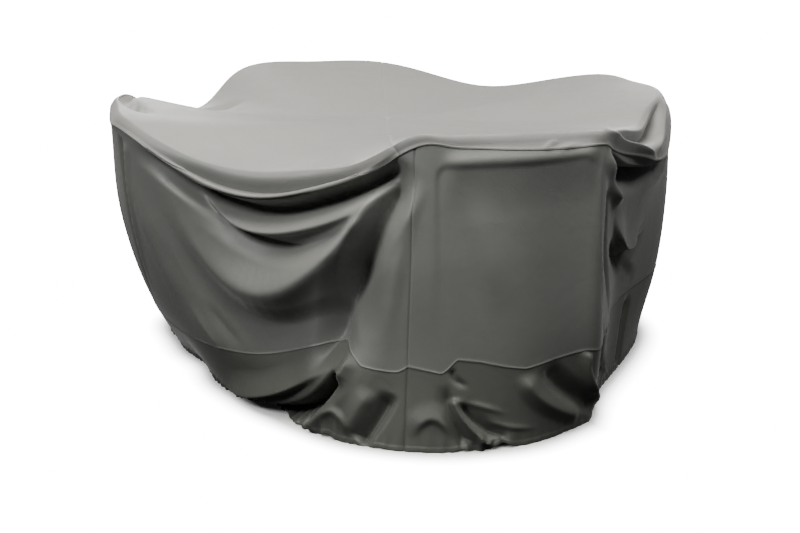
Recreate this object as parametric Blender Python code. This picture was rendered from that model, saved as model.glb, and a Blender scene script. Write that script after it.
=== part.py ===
"""Cloth cover for round garden furniture: draped top, side wall and gathered hem band.

Metres, +Z up, the hem stands on the floor at Z = 0. Seen from the front (looking along +Y) azimuth 0 is
the nearest point of the rim, and azimuth grows to the right: 90 is +X, 180 is the back, 270 is -X.

A level tells how far down the cloth a point lies: 0 is the middle of the top, 1 half way out, 2 the edge
where the top rolls over, 3 the rim seam, 4 the middle of the wall, 5 the band seam and 6 the hem.
"""
import math
from collections import namedtuple

import bmesh
import bpy
import numpy as np

# ---- driving dimensions, in metres and degrees ----
COVER_NAME = "patio_cover"
LOWEST_PIECE = "hem_band"
CLOTH_THICKNESS = 0.0025
SEAM_GAP = 0.0003          # clearance between two panels at their seam
TOP_MIDDLE_HEIGHT = 0.805
HALF_WAY = 0.52            # how far out level 1 lies, as a share of the roll-over edge's radius
MIDDLE_X = 0.0262          # middle of the outline's box, seen from above
MIDDLE_Y = -0.0622
TOP_SEAM_AZIMUTH = 1.8     # the top's centre seam runs from here straight across
WALL_SEAM_AZIMUTH = 4.5    # the wall's front seam; its back seam is opposite
WALL_SEAM_LEAN = 1.3       # degrees by which the front seam starts to the right, and ends to the left
WALL_SEAM_REACH = 12.0     # degrees to each side over which the cloth follows that lean

# ---- resolution ----
READ_AZIMUTH, READ_LEVEL = 0.4, 0.02   # steps over which a surface's slope is read
FRONT_FROM, FRONT_TO, FRONT_STEP = -74.0, 94.0, 1.75
BACK_STEP = 6.4
FINEST_FOLD = 0.045        # folds are drawn no narrower than this half width
SHARPEST_CREST = 1.8       # and their crests no sharper than this
EASE = 0.5                 # share by which each column takes the folds of the columns beside it
EASE_ROUNDS = 3
TOP_LEVELS = (0.0, 0.5, 1.0, 1.5, 2.0, 2.35, 2.7, 3.0)
WALL_ROWS = 17
BAND_ROWS = 7

CENTRE, ROLL_OVER, RIM_SEAM, BAND_SEAM, HEM = 0, 2, 3, 5, 6

# The outline, read at places round the cover. rim: the seam round the top; roll_in and roll_up: how far
# inside and above it the top rolls over; half_z: height of level 1; wall: radius half way down the wall;
# band: the lower seam; hem: radius on the floor.
Station = namedtuple("Station", "azimuth rim_r rim_z roll_in roll_up half_z wall_r band_r band_z hem_r")
STATIONS = [
    Station(0.0, 0.890, 0.822, 0.018, 0.024, 0.815, 0.932, 0.988, 0.220, 1.065),
    Station(6.8, 0.933, 0.879, 0.016, 0.022, 0.824, 0.969, 1.017, 0.224, 1.099),
    Station(11.0, 0.950, 0.872, 0.019, 0.028, 0.827, 0.988, 1.034, 0.228, 1.111),
    Station(15.0, 0.964, 0.868, 0.022, 0.032, 0.830, 1.004, 1.048, 0.230, 1.116),
    Station(22.5, 0.998, 0.863, 0.028, 0.038, 0.835, 1.038, 1.078, 0.235, 1.122),
    Station(33.6, 1.055, 0.866, 0.022, 0.036, 0.838, 1.068, 1.087, 0.238, 1.086),
    Station(36.5, 1.078, 0.868, 0.016, 0.034, 0.840, 1.084, 1.094, 0.240, 1.072),
    Station(39.2, 1.057, 0.851, 0.022, 0.042, 0.837, 1.046, 1.062, 0.242, 1.034),
    Station(43.0, 1.030, 0.825, 0.036, 0.053, 0.831, 1.000, 1.020, 0.245, 0.992),
    Station(53.0, 1.000, 0.782, 0.070, 0.080, 0.826, 0.945, 0.930, 0.250, 0.945),
    Station(63.0, 1.005, 0.742, 0.090, 0.102, 0.822, 0.935, 0.900, 0.255, 0.925),
    Station(76.0, 1.005, 0.772, 0.085, 0.100, 0.832, 0.975, 0.940, 0.262, 0.925),
    Station(88.0, 1.010, 0.852, 0.035, 0.052, 0.846, 1.025, 1.005, 0.262, 0.945),
    Station(106.0, 1.002, 0.868, 0.030, 0.038, 0.852, 1.000, 0.970, 0.235, 0.935),
    Station(121.0, 1.010, 0.870, 0.018, 0.032, 0.840, 0.980, 0.940, 0.220, 0.920),
    Station(135.0, 0.930, 0.815, 0.022, 0.045, 0.820, 0.920, 0.900, 0.220, 0.890),
    Station(151.0, 0.885, 0.768, 0.030, 0.056, 0.810, 0.890, 0.880, 0.220, 0.860),
    Station(167.0, 0.912, 0.812, 0.022, 0.045, 0.822, 0.920, 0.890, 0.220, 0.870),
    Station(183.0, 0.975, 0.869, 0.018, 0.034, 0.842, 0.960, 0.920, 0.220, 0.900),
    Station(202.0, 0.962, 0.872, 0.030, 0.042, 0.850, 0.955, 0.920, 0.220, 0.900),
    Station(219.5, 0.978, 0.865, 0.018, 0.035, 0.840, 0.950, 0.910, 0.220, 0.890),
    Station(231.0, 0.915, 0.788, 0.022, 0.040, 0.815, 0.910, 0.890, 0.215, 0.870),
    Station(244.0, 0.880, 0.735, 0.030, 0.048, 0.790, 0.885, 0.880, 0.210, 0.850),
    Station(255.0, 0.910, 0.788, 0.022, 0.036, 0.790, 0.905, 0.885, 0.205, 0.840),
    Station(266.0, 0.967, 0.862, 0.018, 0.022, 0.802, 0.950, 0.895, 0.200, 0.835),
    Station(281.0, 0.970, 0.854, 0.030, 0.040, 0.822, 0.968, 0.880, 0.180, 0.790),
    Station(292.0, 0.978, 0.849, 0.030, 0.038, 0.824, 0.957, 0.866, 0.166, 0.770),
    Station(302.5, 0.978, 0.846, 0.026, 0.024, 0.825, 0.938, 0.850, 0.155, 0.752),
    Station(312.0, 0.915, 0.766, 0.022, 0.040, 0.815, 0.888, 0.860, 0.165, 0.788),
    Station(324.0, 0.864, 0.697, 0.036, 0.062, 0.800, 0.855, 0.868, 0.175, 0.825),
    Station(334.0, 0.844, 0.685, 0.040, 0.070, 0.795, 0.855, 0.873, 0.187, 0.880),
    Station(344.0, 0.838, 0.713, 0.040, 0.058, 0.795, 0.865, 0.895, 0.235, 0.945),
    Station(352.5, 0.850, 0.757, 0.026, 0.036, 0.805, 0.886, 0.962, 0.270, 1.018),
]

# The folds. Each runs through three places (azimuth, level) towards greater azimuth. height: how far its
# line stands out, or in where negative; over and under: its half widths on the left and on the right of
# the way it runs, which are its upper and lower sides where it runs level; lean: share of the height by
# which the line slips to its under side; fade_in and fade_out: shares of its length where it starts and
# ends; crest: 2 gives a round crest, and nearer to 1 a sharper one.
Fold = namedtuple("Fold", "name start middle end height over under lean fade_in fade_out crest")
FOLDS = [
    # top
    Fold("top_trough_back_left", (-128, 1.55), (-110, 1.92), (-95, 2.30), -0.024, 0.050, 0.040, 0, 0.4, 0.2, 1.6),
    Fold("top_trough_left", (-108, 1.80), (-82, 1.86), (-64, 1.66), -0.018, 0.030, 0.060, 0, 0.3, 0.4, 1.6),
    Fold("top_strip_left", (-112, 2.45), (-100, 2.35), (-88, 2.25), 0.010, 0.030, 0.030, 0, 0.4, 0.3, 1.6),
    Fold("top_trough_right", (38, 2.20), (60, 2.30), (84, 2.22), -0.046, 0.016, 0.060, 0, 0.3, 0.25, 1.25),
    Fold("top_lip_right", (36.6, 2.04), (46, 2.66), (62, 2.97), 0.026, 0.044, 0.014, 0, 0.3, 0.2, 1.1),
    Fold("top_lip_far_right", (56, 2.90), (71, 2.62), (88, 2.50), 0.014, 0.050, 0.030, 0, 0.35, 0.3, 1.3),
    Fold("roll_band_left", (-52, 2.88), (-24, 2.85), (0, 2.90), -0.020, 0.064, 0.006, 0, 0.25, 0.3, 1.3),
    # bay at the left of the front
    Fold("under_rim_left", (-55, 3.07), (-22, 3.15), (3, 3.08), -0.084, 0.026, 0.072, 0, 0.25, 0.12, 1.4),
    Fold("cowl_one", (-47, 3.15), (-20, 3.42), (-1.5, 3.30), 0.026, 0.075, 0.020, 0.35, 0.25, 0.2, 1.3),
    Fold("cowl_one_tuck", (-45, 3.22), (-19, 3.66), (-4.5, 3.48), -0.030, 0.050, 0.060, 0, 0.2, 0.3, 1.3),
    Fold("cowl_two", (-54, 3.28), (-24, 4.12), (2, 3.08), 0.070, 0.100, 0.075, 0.1, 0.2, 0.15, 1.25),
    Fold("cowl_two_tuck", (-50, 3.80), (-25, 4.56), (-10, 4.40), -0.018, 0.060, 0.140, 0, 0.4, 0.4, 1.8),
    Fold("corner_valley", (-7.5, 4.70), (-4.2, 3.86), (4.0, 3.07), -0.088, 0.044, 0.085, 0, 0.4, 0.06, 1.3),
    Fold("corner_valley_low", (-11.0, 5.00), (-8.0, 4.50), (-4.2, 3.80), -0.060, 0.060, 0.150, 0, 0.3, 0.5, 1.5),
    Fold("corner_ridge", (0.0, 4.90), (2.4, 4.00), (6, 3.14), 0.010, 0.070, 0.040, 0, 0.3, 0.3, 1.5),
    Fold("cowl_end", (-12, 3.98), (-5, 3.58), (1.5, 3.12), 0.014, 0.040, 0.024, 0, 0.35, 0.3, 1.2),
    Fold("left_valley", (-55, 3.20), (-47, 3.90), (-36, 4.40), -0.011, 0.070, 0.070, 0, 0.4, 0.4, 1.7),
    Fold("left_swell", (-60, 3.15), (-56, 3.95), (-48, 4.70), 0.007, 0.060, 0.060, 0, 0.3, 0.3, 1.8),
    Fold("left_low_ridge", (-48, 4.50), (-41, 4.84), (-36, 5.06), 0.005, 0.030, 0.030, 0, 0.4, 0.4, 1.3),
    Fold("left_low_valley", (-43, 4.44), (-36, 4.72), (-30, 4.98), -0.006, 0.030, 0.050, 0, 0.4, 0.4, 1.4),
    Fold("left_crease", (-67, 4.90), (-63.5, 3.90), (-60, 3.06), -0.022, 0.016, 0.024, 0, 0.35, 0.06, 1.15),
    Fold("left_crease_ridge", (-64, 4.80), (-60.8, 3.85), (-57.8, 3.08), 0.010, 0.014, 0.026, 0, 0.4, 0.08, 1.2),
    # front
    Fold("front_border", (8.5, 3.15), (22, 3.085), (36, 3.065), 0.016, 0.044, 0.160, 0, 0.15, 0.08, 1.3),
    Fold("front_swell", (13, 3.30), (17, 3.90), (19, 4.60), 0.008, 0.090, 0.060, 0, 0.4, 0.4, 1.8),
    # bay at the right of the front
    Fold("front_edge", (36.5, 3.00), (39.4, 4.72), (56, 5.97), 0.008, 0.012, 0.014, 0, 0.03, 0.05, 1.05),
    Fold("right_gully", (38.9, 3.30), (42.0, 3.95), (46.5, 4.90), -0.066, 0.060, 0.024, 0, 0.25, 0.3, 1.3),
    Fold("right_ridge", (37.4, 3.06), (42.5, 3.32), (51, 3.54), 0.028, 0.020, 0.040, 0, 0.35, 0.25, 1.1),
    Fold("right_tongue", (47.5, 3.66), (55.5, 4.14), (68, 3.88), 0.036, 0.090, 0.018, 0.3, 0.3, 0.35, 1.15),
    Fold("right_tongue_tuck", (47, 3.90), (56.5, 4.32), (71, 4.10), -0.024, 0.016, 0.070, 0, 0.3, 0.3, 1.25),
    Fold("right_low", (58, 4.36), (64, 4.62), (71, 4.86), -0.014, 0.045, 0.040, 0, 0.3, 0.3, 1.6),
    Fold("under_rim_right", (40, 3.06), (51, 3.22), (64, 3.10), -0.078, 0.024, 0.085, 0, 0.25, 0.3, 1.25),
    Fold("under_rim_far_right", (58, 3.12), (70, 3.14), (82, 3.10), -0.024, 0.028, 0.070, 0, 0.3, 0.3, 1.5),
    # bays at the back
    Fold("under_rim_back_right", (126, 3.10), (150, 3.16), (174, 3.10), -0.038, 0.026, 0.055, 0, 0.2, 0.2, 1.5),
    Fold("cowl_back_right", (127, 3.20), (150, 3.95), (176, 3.18), 0.046, 0.140, 0.046, 0.4, 0.25, 0.25, 1.5),
    Fold("tuck_back_right", (132, 3.65), (152, 4.25), (172, 3.70), -0.034, 0.036, 0.090, 0, 0.3, 0.3, 1.5),
    Fold("sweep_back_right", (137, 4.90), (130, 4.10), (123, 3.12), -0.042, 0.090, 0.090, 0, 0.3, 0.12, 1.6),
    Fold("sweep_back_middle", (168, 4.90), (174, 4.10), (181, 3.12), -0.038, 0.090, 0.090, 0, 0.3, 0.12, 1.6),
    Fold("under_rim_back_left", (224, 3.10), (243, 3.16), (261, 3.10), -0.038, 0.026, 0.055, 0, 0.2, 0.2, 1.5),
    Fold("cowl_back_left", (223, 3.20), (242, 3.80), (262, 3.18), 0.044, 0.130, 0.046, 0.4, 0.25, 0.25, 1.5),
    Fold("tuck_back_left", (228, 3.55), (243, 4.10), (258, 3.60), -0.034, 0.036, 0.090, 0, 0.3, 0.3, 1.5),
    Fold("sweep_back_left", (232, 4.92), (226, 4.10), (221, 3.12), -0.040, 0.090, 0.090, 0, 0.3, 0.12, 1.6),
    Fold("sweep_left", (257, 4.92), (262, 4.10), (266, 3.12), -0.030, 0.080, 0.080, 0, 0.3, 0.12, 1.6),
    Fold("swell_back", (193, 4.90), (196, 4.20), (197, 3.30), 0.016, 0.110, 0.110, 0, 0.3, 0.3, 2.0),
    Fold("swell_right", (104, 4.90), (108, 4.10), (112, 3.20), 0.014, 0.110, 0.110, 0, 0.3, 0.3, 2.0),
    # hem band
    Fold("band_puff_left", (-45, 5.90), (-24, 5.62), (-9.5, 5.12), 0.036, 0.130, 0.026, 0.3, 0.4, 0.12, 1.4),
    Fold("band_tuck_left", (-30, 5.97), (-14.5, 5.68), (-8, 5.14), -0.070, 0.022, 0.030, 0, 0.25, 0.08, 1.2),
    Fold("band_ridge_one", (-13.5, 5.97), (-9.3, 5.50), (-6, 5.03), 0.020, 0.016, 0.050, 0, 0.06, 0.15, 1.1),
    Fold("band_hump_one", (-11.5, 5.86), (-8.5, 5.70), (-5.5, 5.84), 0.012, 0.022, 0.014, 0, 0.3, 0.3, 1.2),
    Fold("band_ridge_two", (-6, 5.92), (-3.6, 5.60), (-1, 5.28), 0.012, 0.050, 0.030, 0, 0.2, 0.3, 1.6),
    Fold("band_groove_one", (-2.6, 5.98), (0.3, 5.62), (2.4, 5.28), -0.034, 0.050, 0.026, 0, 0.06, 0.25, 1.5),
    Fold("band_hump_two", (5.4, 5.86), (8.6, 5.60), (12.0, 5.90), 0.012, 0.060, 0.014, 0, 0.3, 0.3, 1.3),
    Fold("band_groove_three", (10.6, 5.16), (11.8, 5.60), (14.2, 5.92), -0.020, 0.016, 0.046, 0, 0.3, 0.15, 1.3),
    Fold("band_ridge_three", (11.4, 5.34), (13.3, 5.66), (17, 5.97), 0.028, 0.026, 0.024, 0, 0.12, 0.08, 1.05),
    Fold("band_groove_four", (12.4, 5.38), (15.2, 5.68), (19.5, 5.90), -0.024, 0.042, 0.014, 0, 0.2, 0.25, 1.2),
    Fold("band_sweep", (22.5, 5.10), (25.5, 5.50), (34, 5.86), 0.020, 0.055, 0.040, 0, 0.25, 0.15, 1.4),
    Fold("band_hollow", (26, 5.04), (30.5, 5.46), (38, 5.84), -0.026, 0.060, 0.040, 0, 0.25, 0.1, 1.5),
    Fold("band_edge_right", (34.8, 5.00), (35.6, 5.42), (41.5, 5.92), 0.020, 0.012, 0.044, 0, 0.06, 0.05, 1.05),
    Fold("band_gap_right", (39.6, 5.06), (43.5, 5.52), (49, 5.97), -0.088, 0.040, 0.030, 0, 0.12, 0.05, 1.4),
    Fold("band_side_right", (62, 5.97), (66, 5.50), (70, 5.05), -0.022, 0.040, 0.040, 0, 0.05, 0.3, 1.7),
    Fold("band_side_far_right", (82, 5.97), (86, 5.50), (90, 5.10), -0.026, 0.045, 0.045, 0, 0.05, 0.3, 1.7),
    Fold("band_back_one", (112, 5.97), (118, 5.50), (124, 5.08), -0.034, 0.080, 0.080, 0, 0.05, 0.3, 1.7),
    Fold("band_back_two", (140, 5.97), (146, 5.55), (152, 5.12), -0.034, 0.085, 0.080, 0, 0.05, 0.3, 1.7),
    Fold("band_back_three", (168, 5.97), (172, 5.50), (180, 5.08), -0.032, 0.080, 0.085, 0, 0.05, 0.3, 1.7),
    Fold("band_back_four", (196, 5.97), (204, 5.60), (208, 5.15), -0.034, 0.080, 0.080, 0, 0.05, 0.3, 1.7),
    Fold("band_back_five", (224, 5.97), (230, 5.55), (238, 5.10), -0.032, 0.080, 0.080, 0, 0.05, 0.3, 1.7),
    Fold("band_left_one", (252, 5.97), (256, 5.50), (262, 5.08), -0.028, 0.080, 0.080, 0, 0.05, 0.3, 1.7),
    Fold("band_left_two", (276, 5.97), (279, 5.55), (284, 5.12), -0.020, 0.070, 0.070, 0, 0.05, 0.3, 1.7),
]
FOLD_STEPS = 24            # straight runs in a fold's line

# The wall's front lies flat and a little sunk between its round upper corners, and its edge fades downwards.
FRONT_AZIMUTH = 21.8
FRONT_HALF_WIDTH = 0.240
FRONT_TOP_LEVEL, FRONT_TOP_SLOPE = 3.125, -0.0036
FRONT_CORNER = 0.045
FRONT_EDGE, FRONT_EDGE_GROWTH = 0.022, 0.050
FRONT_DEPTH = 0.006
FRONT_END_LEVEL, FRONT_END_REACH = 4.9, 0.8
LEVEL_HEIGHT = 0.31        # one level of the wall, measured down the cloth

# The band seam isn't drawn level: it dips and rises where the band is gathered. Shares of a level, downwards.
SEAM_KINKS = [(-180, 0), (-40, 0), (-14, -0.01), (-7.6, -0.09), (-6, 0.0), (-3.6, 0.08), (0, 0.02), (3, 0.01),
              (4.6, -0.04), (6, -0.02), (10, 0.05), (12.4, -0.09), (16, -0.06), (23, 0.05), (28, 0.0),
              (34, -0.03), (40, 0.04), (45, 0), (180, 0)]
KINK_REACH = 0.5           # levels above and below the band seam over which the cloth follows it
KINK_ROWS = np.linspace(4.4, 5.6, 61)   # close levels at which the folds are read near the seam

CLOTH_COLOUR = (0.165, 0.163, 0.155, 1.0)
BAND_COLOUR = (0.150, 0.149, 0.141, 1.0)


def closed_spline(places, values, at):
    """Smooth closed curve through rows of values at their azimuths, read at other azimuths."""
    count = len(places)
    gap = np.diff(np.append(places, places[0] + 360.0))
    rise = (np.roll(values, -1, axis=0) - values) / gap[:, None]
    matrix = np.zeros((count, count))
    for i in range(count):
        matrix[i, i - 1] = gap[i - 1]
        matrix[i, i] = 2.0 * (gap[i - 1] + gap[i])
        matrix[i, (i + 1) % count] = gap[i]
    curvature = np.linalg.solve(matrix, 6.0 * (rise - np.roll(rise, 1, axis=0)))
    at = np.mod(at, 360.0)
    i = np.searchsorted(places, at, side="right") - 1
    j = (i + 1) % count
    width = gap[i][:, None]
    b = (at - places[i])[:, None] / width
    a = 1.0 - b
    bend = ((a ** 3 - a) * curvature[i] + (b ** 3 - b) * curvature[j]) * width ** 2 / 6.0
    return a * values[i] + b * values[j] + bend


def profile(points, levels):
    """Curve down the cloth in each upright plane: points[azimuth, level] are (radius, height)."""
    run = np.diff(points, axis=1)
    size = np.linalg.norm(run, axis=2, keepdims=True)
    way = run / size
    knot = np.empty_like(points)
    knot[:, 0] = (1.0, 0.0)
    knot[:, -1] = way[:, -1]
    knot[:, 1:-1] = (way[:, :-1] * size[:, 1:] + way[:, 1:] * size[:, :-1]) / (size[:, :-1] + size[:, 1:])
    leave, reach = knot[:, :-1].copy(), knot[:, 1:].copy()
    reach[:, ROLL_OVER - 1] = way[:, ROLL_OVER - 1]
    leave[:, RIM_SEAM] = way[:, RIM_SEAM]
    over_edge = way[:, ROLL_OVER - 1] + way[:, ROLL_OVER]
    under_rim = way[:, ROLL_OVER] + way[:, RIM_SEAM]
    leave[:, ROLL_OVER] = over_edge / np.linalg.norm(over_edge, axis=1, keepdims=True)
    reach[:, ROLL_OVER] = under_rim / np.linalg.norm(under_rim, axis=1, keepdims=True)
    i = np.minimum(levels.astype(int), points.shape[1] - 2)
    f = (levels - i)[None, :, None]
    return ((2 * f ** 3 - 3 * f ** 2 + 1) * points[:, i] + (f ** 3 - 2 * f ** 2 + f) * leave[:, i] * size[:, i]
            + (3 * f ** 2 - 2 * f ** 3) * points[:, i + 1] + (f ** 3 - f ** 2) * reach[:, i] * size[:, i])


def plain_cover(azimuths, levels):
    """The cover without its folds: points[azimuth, level]."""
    table = np.array(STATIONS)
    row = closed_spline(table[:, 0], table[:, 1:], azimuths)
    rim_r, rim_z, roll_in, roll_up, half_z, wall_r, band_r, band_z, hem_r = row.T
    floor = np.zeros_like(rim_r)
    roll_r = rim_r - roll_in
    radius = [floor, HALF_WAY * roll_r, roll_r, rim_r, wall_r, band_r, hem_r]
    height = [floor + TOP_MIDDLE_HEIGHT, half_z, rim_z + roll_up, rim_z, (rim_z + band_z) / 2, band_z, floor]
    curve = profile(np.stack([np.stack(radius, 1), np.stack(height, 1)], 2), levels)
    below_rim = np.clip((levels - RIM_SEAM) / (HEM - RIM_SEAM), 0.0, 1.0)
    lean = WALL_SEAM_LEAN * (np.clip(levels - ROLL_OVER, 0.0, 1.0) - 2.0 * below_rim)
    off = (np.mod(azimuths - WALL_SEAM_AZIMUTH + 180.0, 360.0) - 180.0) / WALL_SEAM_REACH
    angle = np.radians(azimuths[:, None] + lean[None, :] * np.exp(-off ** 2)[:, None])
    return np.stack([curve[..., 0] * np.sin(angle), -curve[..., 0] * np.cos(angle), curve[..., 1]], 2)


def outward(surface, azimuths, levels):
    """Unit normals of a surface(azimuths, levels), pointing out of the cover."""
    along = surface(azimuths + READ_AZIMUTH, levels) - surface(azimuths - READ_AZIMUTH, levels)
    down = (surface(azimuths, np.minimum(levels + READ_LEVEL, HEM))
            - surface(azimuths, np.maximum(levels - READ_LEVEL, CENTRE)))
    normal = np.cross(down, along)
    size = np.linalg.norm(normal, axis=2, keepdims=True)
    return np.where(size > 1e-12, normal / np.maximum(size, 1e-12), (0.0, 0.0, 1.0))


def through(places, share):
    """Curve through a fold's three places, read at shares of its length."""
    start, middle, end = (np.array(place, float) for place in places)
    s = share[:, None]
    return (1 - s) * (1 - 2 * s) * start + 4 * s * (1 - s) * middle + s * (2 * s - 1) * end


def smooth_step(x):
    x = np.clip(x, 0.0, 1.0)
    return x * x * (3.0 - 2.0 * x)


def fold_line(fold):
    """A fold's line on the plain cover, with the cloth's normal at each point."""
    places = through((fold.start, fold.middle, fold.end), np.linspace(0.0, 1.0, FOLD_STEPS + 1))
    line, normals = [], []
    for place in places:
        azimuth, level = place[:1], np.clip(place[1:], CENTRE, HEM)
        line.append(plain_cover(azimuth, level)[0, 0])
        normals.append(outward(plain_cover, azimuth, level)[0, 0])
    return np.array(line), np.array(normals)


def fold_shift(fold, line, line_normals, points, normals):
    """How far each point moves for one fold, which runs along its line."""
    nearest = np.full(len(points), np.inf)
    share = np.zeros(len(points))
    across = np.zeros(len(points))
    side = np.zeros_like(points)
    for i in range(FOLD_STEPS):
        run = line[i + 1] - line[i]
        f = np.clip((points - line[i]) @ run / (run @ run), 0.0, 1.0)
        away = points - line[i] - f[:, None] * run
        distance = np.linalg.norm(away, axis=1)
        left = np.cross(line_normals[i], run)
        left /= np.linalg.norm(left)
        closer = distance < nearest
        nearest[closer] = distance[closer]
        share[closer] = ((i + f) / FOLD_STEPS)[closer]
        across[closer] = np.where(away @ left < 0.0, -distance, distance)[closer]
        side[closer] = left
    reach = np.hypot(np.where(across > 0.0, fold.over, fold.under), FINEST_FOLD)
    bump = np.clip(1.0 - np.abs(across / reach) ** max(fold.crest, SHARPEST_CREST), 0.0, 1.0) ** 2
    bump *= smooth_step(share / fold.fade_in) * smooth_step((1.0 - share) / fold.fade_out)
    return fold.height * bump[:, None] * (normals - fold.lean * side)


def front_sink(azimuths, levels):
    """Depth of the wall's sunk front, which has round upper corners."""
    across = np.radians(np.abs(azimuths - FRONT_AZIMUTH))[:, None] + 0.0 * levels[None, :]
    top_level = FRONT_TOP_LEVEL + FRONT_TOP_SLOPE * (azimuths - FRONT_AZIMUTH)
    down = (levels[None, :] - top_level[:, None]) * LEVEL_HEIGHT
    side = np.maximum(across - FRONT_HALF_WIDTH + FRONT_CORNER, 0.0)
    top = np.maximum(FRONT_CORNER - down, 0.0)
    inside = FRONT_CORNER - np.hypot(side, top)
    edge = FRONT_EDGE + FRONT_EDGE_GROWTH * np.maximum(down, 0.0)
    lower_end = smooth_step((FRONT_END_LEVEL - levels) / FRONT_END_REACH)[None, :]
    return FRONT_DEPTH * smooth_step(inside / edge) * lower_end


FOLD_LINES = [fold_line(fold) for fold in FOLDS]


def draped_cover(azimuths, levels):
    """The cover's middle surface with its folds: points[azimuth, level]."""
    plain = plain_cover(azimuths, levels)
    normals = outward(plain_cover, azimuths, levels)
    flat_points = plain.reshape(-1, 3)
    flat_normals = normals.reshape(-1, 3)
    moved = flat_points.copy()
    for fold, (line, line_normals) in zip(FOLDS, FOLD_LINES):
        moved += fold_shift(fold, line, line_normals, flat_points, flat_normals)
    moved = moved.reshape(plain.shape) - front_sink(azimuths, levels)[..., None] * normals
    moved[:, levels >= HEM, 2] = 0.0
    moved[..., 2] = np.maximum(moved[..., 2], 0.0)
    return moved - (MIDDLE_X, MIDDLE_Y, 0.0)


def cloth_material(name, colour):
    """Coated woven cloth: matt grey with a slight sheen."""
    material = bpy.data.materials.new(name)
    material.use_nodes = True
    shader = material.node_tree.nodes["Principled BSDF"]
    shader.inputs["Base Color"].default_value = colour
    shader.inputs["Roughness"].default_value = 0.55
    shader.inputs["Metallic"].default_value = 0.0
    return material


def draw_back(edge, inner, distance):
    """An edge moved towards the row beside it by half of the seam's gap."""
    way = inner - edge
    return edge + distance * way / np.linalg.norm(way, axis=-1, keepdims=True)


def sheet_panel(name, points, normals, material, collection, closed_middle=False):
    """One sewn panel as a closed solid: a grid points[azimuth, level] given the cloth's thickness."""
    columns, rows = points.shape[:2]
    half = CLOTH_THICKNESS / 2
    mesh = bmesh.new()
    grids = []
    for offset in (half, -half):
        shell = points + offset * normals
        shell[..., 2] = np.maximum(shell[..., 2], 0.0)
        grid = [[None] * rows for _ in range(columns)]
        if closed_middle:
            middle = mesh.verts.new(shell[:, 0].mean(axis=0))
        for c in range(columns):
            for r in range(rows):
                grid[c][r] = middle if closed_middle and r == 0 else mesh.verts.new(shell[c, r])
        grids.append(grid)
    outer, inner = grids

    def face(*corners):
        corners = [v for i, v in enumerate(corners) if v is not corners[i - 1]]
        if len(corners) > 2:
            mesh.faces.new(corners)

    for c in range(columns - 1):
        for r in range(rows - 1):
            face(outer[c][r], outer[c][r + 1], outer[c + 1][r + 1], outer[c + 1][r])
            face(inner[c][r], inner[c + 1][r], inner[c + 1][r + 1], inner[c][r + 1])
        face(outer[c][-1], inner[c][-1], inner[c + 1][-1], outer[c + 1][-1])
        if not closed_middle:
            face(outer[c][0], outer[c + 1][0], inner[c + 1][0], inner[c][0])
    for r in range(rows - 1):
        face(outer[0][r], inner[0][r], inner[0][r + 1], outer[0][r + 1])
        face(outer[-1][r], outer[-1][r + 1], inner[-1][r + 1], inner[-1][r])

    data = bpy.data.meshes.new(name)
    mesh.to_mesh(data)
    mesh.free()
    data.shade_smooth()
    data.materials.append(material)
    panel = bpy.data.objects.new(name, data)
    collection.objects.link(panel)
    return panel


def round_azimuths():
    """Azimuths of the columns once round, from the front's first one."""
    seams = np.array([TOP_SEAM_AZIMUTH, WALL_SEAM_AZIMUTH])
    seams = np.concatenate([seams, seams + 180.0])
    front = np.arange(FRONT_FROM, FRONT_TO, FRONT_STEP)
    back = np.arange(FRONT_TO, FRONT_FROM + 360.0, BACK_STEP)
    plain = [a for a in np.concatenate([front, back]) if np.abs(a - seams).min() > FRONT_STEP / 2]
    return np.sort(np.concatenate([plain, seams]))


def rows_between(points, levels, wanted):
    """Points at wanted[azimuth, row] levels, read from points[azimuth, level]."""
    i = np.clip(np.searchsorted(levels, wanted) - 1, 0, len(levels) - 2)
    f = ((wanted - levels[i]) / (levels[i + 1] - levels[i]))[..., None]
    column = np.arange(len(points))[:, None]
    return (1.0 - f) * points[column, i] + f * points[column, i + 1]


def seam_shift(azimuths, levels):
    """How far each point of a grid moves down the cloth to follow the band seam, in levels."""
    kinks = np.array(SEAM_KINKS)
    turned = np.mod(azimuths + 180.0, 360.0) - 180.0
    kink = np.interp(turned, kinks[:, 0], kinks[:, 1])
    return kink[:, None] * smooth_step(1.0 - np.abs(levels - BAND_SEAM) / KINK_REACH)[None, :]


def closed_grid(azimuths, levels):
    """The whole draped cover as a grid of points[azimuth, level], with the normals of its faces."""
    read_levels = np.union1d(levels, KINK_ROWS)
    plain = plain_cover(azimuths, read_levels) - (MIDDLE_X, MIDDLE_Y, 0.0)
    shift = draped_cover(azimuths, read_levels) - plain
    for _ in range(EASE_ROUNDS):
        beside = (np.roll(shift, 1, axis=0) + np.roll(shift, -1, axis=0)) / 2
        shift = (1.0 - EASE) * shift + EASE * beside
    wanted = levels[None, :] + seam_shift(azimuths, levels)
    shift = rows_between(shift, read_levels, wanted)
    shift[:, 1:-1] = (1.0 - EASE) * shift[:, 1:-1] + EASE * (shift[:, :-2] + shift[:, 2:]) / 2
    points = rows_between(plain, read_levels, wanted) + shift
    diagonal = np.roll(points, -1, axis=0)[:, 1:] - points[:, :-1]
    other = points[:, 1:] - np.roll(points, -1, axis=0)[:, :-1]
    face = np.cross(other, diagonal)
    face = np.concatenate([face[:, :1], face, face[:, -1:]], axis=1)
    face = face + np.roll(face, 1, axis=0)
    normals = face[:, :-1] + face[:, 1:]
    normals[:, 0] = (0.0, 0.0, 1.0)
    return points, normals / np.linalg.norm(normals, axis=2, keepdims=True)


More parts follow.
